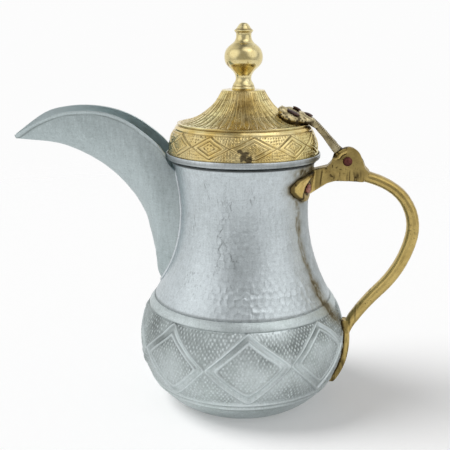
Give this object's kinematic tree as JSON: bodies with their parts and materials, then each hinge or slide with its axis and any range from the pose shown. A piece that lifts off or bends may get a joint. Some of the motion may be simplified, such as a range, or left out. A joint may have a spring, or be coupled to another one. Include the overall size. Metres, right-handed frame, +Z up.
{
  "type": "dallah coffee pot",
  "caption": "Coffee pot with a pear-shaped hammered body, an open crescent beak, a loop handle riveted to the neck and a hinged lid with a finial",
  "frame": {"origin": "centre of the flat base, on the surface the pot stands on", "axes": "Z up from the base; X is the long way, with the handle on +X and the beak on -X; Y is the short way, along the hinge pin"},
  "size_m": [0.2783, 0.1462, 0.2622],
  "materials": {
    "aluminium_bowl": "satin, worked and stippled",
    "aluminium_neck": "satin, hammered",
    "aluminium_spout": "satin",
    "aluminium_bright": "worn bright",
    "lid_brass": "polished, engraved",
    "cast_brass": "worn, brown in the hollows",
    "copper": "dull copper",
    "dark_copper": "dark copper"
  },
  "bodies": {
    "pot": {"lower_bowl": "aluminium_bowl", "waist_band": "aluminium_neck", "upper_body": "aluminium_neck", "rim_ring": "aluminium_bright", "spout": "aluminium_spout", "handle": "cast_brass", "leaf_rivets": "copper", "hinge_pin": "copper"},
    "lid": {"lid_dome": "lid_brass", "lid_collar": "aluminium_bright", "lid_sleeve": "aluminium_bright", "hinge_strap": "cast_brass", "strap_rivets": "dark_copper", "finial": "lid_brass", "finial_stud": "lid_brass", "finial_washer": "lid_brass"}
  },
  "joints": [
    {"name": "lid_hinge", "type": "hinge", "parent": "pot", "child": "lid", "pos_m": [0.071, 0, 0.173], "axis": [0, 1, 0], "range_deg": [0, 100]}
  ]
}
